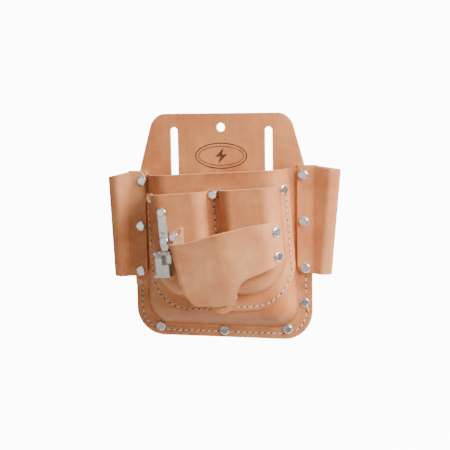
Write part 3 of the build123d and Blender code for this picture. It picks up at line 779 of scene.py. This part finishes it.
def makeHolster():
    half = strapThick / 2
    reach = second["bulgeShoulder"] + 0.1 + half
    turn = radians(45)
    touchU = second["bulgeOut"] - second["bulgeShoulder"] + reach * sin(turn)
    touchY = -(bulgeFront - second["bulgeShoulder"] + reach * cos(turn))
    rest = -(bulgeFront + 0.1 + half)
    perLine, perArc = 34, 12

    def section(v):
        share = (v - holster["bottom"]) / (holster["top"] - holster["bottom"])
        forward = holster["forwardLow"] + (holster["forwardTop"] - holster["forwardLow"]) * share
        fold = holster["foldLow"] + (holster["foldTop"] - holster["foldLow"]) * share
        line = [(touchU + 5.5, touchY + 5.5), (touchU - 9, touchY - 9), (12, -forward), (fold, -forward + 2),
                (-26.5, rest), (holster["tabEnd"], rest)]
        return bentLine(line, [14, 70, 2.1, 1.8], perLine, perArc)

    foldStart, foldEnd = 3 * perLine + 2 * perArc, 3 * perLine + 3 * perArc
    turnEnd = foldEnd + perLine + perArc // 2
    base = section(-80)
    high = section(-45)

    def topAt(i):
        if i <= foldStart:
            return curveAt(holster["topEdge"], high[i].x)
        if i <= foldEnd:
            return curveAt(holster["topEdge"], -46)
        if i <= turnEnd:
            share = (i - foldEnd) / (turnEnd - foldEnd)
            return -44.9 + 13.6 * share ** 0.9
        return curveAt(holster["tabEdge"], high[i].x)

    def lowAt(i):
        if i > turnEnd:
            return -50.0
        return -88.0 if i > foldStart else curveAt(holster["lowEdge"], base[i].x if base[i].x < 60 else high[i].x)

    tops = [topAt(i) for i in range(len(base))]
    lows = [lowAt(i) for i in range(len(base))]

    def place(i, t):
        v = lows[i] + (tops[i] - lows[i]) * t
        p = section(v)[i]
        swell = 1.4 * sin(pi * min(max((p.x + 44) / 96, 0), 1)) * sin(pi * min(max((v + 112) / 80, 0), 1))
        flare = 2.3 * exp((v - tops[i]) / 8) * sin(pi * min(max((p.x + 52) / 112, 0), 1))  # the mouth springs out
        y = p.y - (swell + flare if i < foldStart else 0)
        return secondPoint(p.x, v, -y)

    obj = sheetFrom("pliersHolster", list(range(len(base)))[::-1], spread(0, 1, 1 / 64), place)

    # the ear is riveted to the pocket and turns forward to make the floor: depth and height along its middle
    radius, centre = holster["earRadius"], holster["earCentre"]
    ear = [(33.2, centre - radius + radius * (1 - cos(radians(a)))) for a in range(0, 91, 9)]
    ear += [(33.2, -109.2), (33.25, -107.4), (33.9, -105.9), (35.2, -105.1), (37, -104.9), (41, -104.9), (46, -104.9),
            (52.6, -104.9)]

    def earPlace(s, k):
        depth, v = ear[k]
        wide = sqrt(max(radius ** 2 - (v - centre) ** 2, 0)) if v < centre else radius
        grow = min(max((depth - 33.4) / 4, 0), 1)
        left, right = -wide - 11.6 * grow, wide + 5.6 * grow
        return secondPoint(left + (right - left) * s, v, depth)

    tongue = sheetFrom("holsterEar", spread(0, 1, 1 / 24), list(range(len(ear))), earPlace)
    for piece in (obj, tongue):
        dress(piece, strapGrain, flesh, cutEdge)
        applyModifier(piece, "SOLIDIFY", thickness=strapThick * mm, offset=0, use_quality_normals=True,
                      material_offset=1, material_offset_rim=2)
        applyModifier(piece, "BEVEL", width=0.6 * mm, segments=2, limit_method="ANGLE", angle_limit=radians(62))
        bpy.ops.object.shade_smooth_by_angle(angle=radians(50))
    pick(obj)
    tongue.select_set(True)
    bpy.ops.object.join()
    mark(obj, "burnishAndShade", lambda p: 0.0)
    obj.data.transform(Matrix())  # so that its box is measured again after the join
    finishPiece(obj, "pouch", "strap_leather", "pliers_holster")


makeHolster()
print("holster ready")

sewing = dict(pitch=6.3, length=5.2, width=1.45, height=1.15, slant=9.0, holeSize=1.05, rivetGap=7.7,
              bottomRivets=((-68.5, -212.2), (1.5, -214.5), (69, -211), (86.8, -181.5)), baseGap=14.0,
              leftEnd=-161, rightEnd=-154, pocketEnd=-6)


# evenly spaced needle holes along a seam drawn flat, each with its heading
def seamStations(points, radii, pitch, skips=()):
    if radii:
        line = bentLine(points, radii, 40, 24)
    else:
        line = [Vector(p) for p in points]
    lengths = [0.0]
    for a, b in zip(line, line[1:]):
        lengths.append(lengths[-1] + (b - a).length)
    count = int(lengths[-1] / pitch)
    stations, k = [], 0
    for i in range(count):
        along = (i + 0.5) * lengths[-1] / count
        while k < len(lengths) - 2 and lengths[k + 1] < along:
            k += 1
        heading = (line[k + 1] - line[k]).normalized()
        place = line[k].lerp(line[k + 1], (along - lengths[k]) / (lengths[k + 1] - lengths[k]))
        if all((place - Vector(c)).length > gap for c, gap in skips):
            stations.append((place, heading))
    return stations


# one stitch along X, standing on Z, with its ends pulled down into the leather
def stitchShape():
    bpy.ops.mesh.primitive_uv_sphere_add(segments=8, ring_count=6, radius=1, rotation=(0, radians(90), 0))
    obj = bpy.context.active_object
    bpy.ops.object.transform_apply(location=False, rotation=True, scale=True)
    for vert in obj.data.vertices:
        x, y, z = vert.co
        full = (1 - abs(x) ** 3) ** 0.5 / max(sqrt(max(1 - x * x, 1e-6)), 1e-3) if abs(x) < 0.999 else 0
        sag = -0.45 * abs(x) ** 4
        vert.co = Vector((x * sewing["length"] / 2, y * full * sewing["width"] / 2,
                          (z * full + sag) * sewing["height"] / 2 + 0.22)) * mm
    bpy.ops.object.shade_smooth()
    return obj


# a flat near-black disc on the leather surface: painted shadow of the punched needle holes
def holeShadowDisc():
    bpy.ops.mesh.primitive_cone_add(vertices=10, radius1=sewing["holeSize"] * mm,
                                    radius2=sewing["holeSize"] * 0.55 * mm,
                                    depth=0.12 * mm, location=(0, 0, 0.04 * mm))
    obj = bpy.context.active_object
    bpy.ops.object.transform_apply(location=True, rotation=True, scale=True)
    return obj


# lays stitches along the stations; surface(a, b) gives the leather's point at flat (a, b)
def sewSeam(name, body, node, stations, surface, behind=False, extra=()):
    stitch, holeShadow = stitchShape(), holeShadowDisc()
    copies = []
    for place, heading in stations:
        ahead = surface(*(place + heading * 0.5)) - surface(*(place - heading * 0.5))
        beside = Vector((-heading.y, heading.x))
        left = surface(*(place + beside * 0.5)) - surface(*(place - beside * 0.5))
        ahead.normalize()
        normal = ahead.cross(left).normalized()
        if behind:
            normal = -normal
        side = normal.cross(ahead)
        turn = radians(sewing["slant"])
        along = ahead * cos(turn) + side * sin(turn)
        frameNow = Matrix((along, normal.cross(along), normal)).transposed().to_4x4()
        middle = surface(*place)
        # each stitch gets a dark disc halfway to the next one, painted shadow of the needle holes
        for shape, centre in ((stitch, middle), (holeShadow, surface(*(place + heading * sewing["pitch"] / 2)))):
            one = shape.copy()
            one.data = shape.data.copy()
            bpy.context.collection.objects.link(one)
            one.data.transform(Matrix.Translation(centre * mm) @ frameNow)
            dress(one, thread, needleHoleShadow)
            if shape is holeShadow:
                for face in one.data.polygons:
                    face.material_index = 1
            copies.append(one)
    for centre, along, normal, scale in extra:
        one = stitch.copy()
        one.data = stitch.data.copy()
        bpy.context.collection.objects.link(one)
        along = Vector(along).normalized()
        normal = Vector(normal)
        side = normal.cross(along).normalized()
        turned = Matrix((along * scale, side, along.cross(side) * -1)).transposed().to_4x4()
        one.data.transform(Matrix.Translation(Vector(centre) * mm) @ turned)
        dress(one, thread, needleHoleShadow)
        copies.append(one)
    for spare in (stitch, holeShadow):
        bpy.data.objects.remove(spare)
    bpy.ops.object.select_all(action="DESELECT")
    for one in copies:
        one.select_set(True)
    bpy.context.view_layer.objects.active = copies[0]
    bpy.ops.object.join()
    obj = bpy.context.active_object
    obj.name = obj.data.name = name
    obj.data.transform(Matrix())
    finishPiece(obj, body, "thread", node)


def makeStitching():
    half, low = bodyHalf - pocket["seamInset"], bodyBottom + pocket["seamInset"]
    corner = panel["cornerRadius"] - pocket["seamInset"]
    path = [(-half, sewing["leftEnd"]), (-half, low), (half, low), (half, sewing["rightEnd"])]
    skips = [((x, z), sewing["rivetGap"]) for x, z in sewing["bottomRivets"]]
    outer = seamStations(path, [corner, corner], sewing["pitch"], skips)
    # the thread's two loose ends: place, heading, the way the leather faces, length against a stitch
    tails = [((90.2, -mainDepth(90.2, -188) - 0.6, -188.5), (0.35, -0.2, -1), (0, -1, 0), 1.25),
             ((-86.0, -mainDepth(-86, -45) - 0.4, -44.5), (0.5, -0.2, 1), (0, -1, 0), 0.9)]
    sewSeam("outerSeamThread", "pouch", "outer_seam_thread", outer, lambda x, z: Vector((x, -mainDepth(x, z), z)),
            extra=tails)
    sewSeam("outerSeamBobbin", "pouch", "outer_seam_bobbin_thread", outer, lambda x, z: Vector((x, 0, z)), True)
    inset = second["seamInset"]
    half, low = second["half"] - inset, second["bottom"] + inset
    end = sewing["pocketEnd"]
    path = [(-half, end), (-half, low), (half, low), (half, end)]
    around = seamStations(path, [second["cornerRadius"] - inset] * 2, sewing["pitch"], [((0, low), sewing["baseGap"])])
    middle = seamStations([(0, end), (0, second["bulgeBottom"] + 4)], [], sewing["pitch"])
    surface = lambda u, v: secondPoint(u, v, secondDepth(u, v))
    sewSeam("pocketSeamThread", "pouch", "pocket_seam_thread", around, surface)
    sewSeam("dividerSeamThread", "pouch", "divider_seam_thread", middle, surface)

    def inside(u, v):
        p = secondPoint(u, v)
        return Vector((p.x, -mainDepth(p.x, p.z) + leather, p.z))

    sewSeam("pocketBobbin", "pouch", "pocket_bobbin_thread", around + middle, inside, True)


makeStitching()
print("stitching ready")

for name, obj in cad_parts.items():
    # the base rivet under the holster's fold gets the dark brass, painted shade on its cap
    if name.startswith("holster_base"):
        dress(obj, shadowDarkBrass)
    elif name.endswith(("_caps", "_posts")):
        dress(obj, nickel)
    elif name.startswith("snap_"):
        dress(obj, snapSteel)
    elif name == "gate_spring":
        dress(obj, springSteel)
    elif name.endswith("thread"):
        dress(obj, thread)
bpy.ops.object.select_all(action="DESELECT")

bpy.context.view_layer.update()
